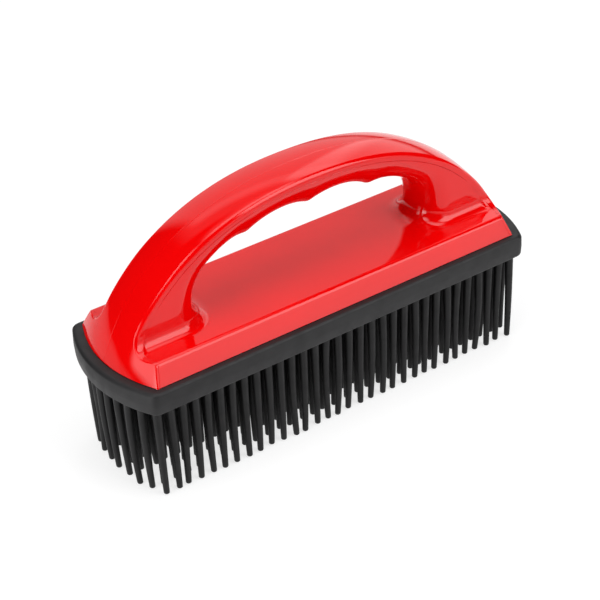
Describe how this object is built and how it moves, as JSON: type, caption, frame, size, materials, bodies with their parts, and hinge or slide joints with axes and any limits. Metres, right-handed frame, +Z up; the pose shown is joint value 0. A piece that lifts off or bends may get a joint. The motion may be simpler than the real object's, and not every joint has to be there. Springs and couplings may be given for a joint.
{
  "type": "rubber bristle hand brush",
  "caption": "Hand brush with a glossy arched loop handle on a bowed rectangular base, over a rubber boot of tapered round bristles.",
  "frame": {"origin": "middle of the brush on the plane of the bristle tips", "axes": "+X along the brush, +Y across it, +Z up from the bristle tips to the top of the handle"},
  "size_m": [0.1586, 0.0498, 0.0861],
  "materials": {
    "handle_red": "high gloss moulded plastic",
    "rubber_black": "matt moulded rubber",
    "plate_black": "moulded plastic, hidden",
    "screw_steel": "zinc plated"
  },
  "bodies": {
    "root": {"top_band_shell": "handle_red", "grip_body_shell": "handle_red", "bristle_pad": "rubber_black", "base_plate": "plate_black", "plate_screw_1": "screw_steel", "plate_screw_2": "screw_steel", "plate_screw_3": "screw_steel", "plate_screw_4": "screw_steel", "handle_screw_1": "screw_steel", "handle_screw_2": "screw_steel", "handle_screw_3": "screw_steel", "handle_screw_4": "screw_steel"}
  },
  "joints": []
}
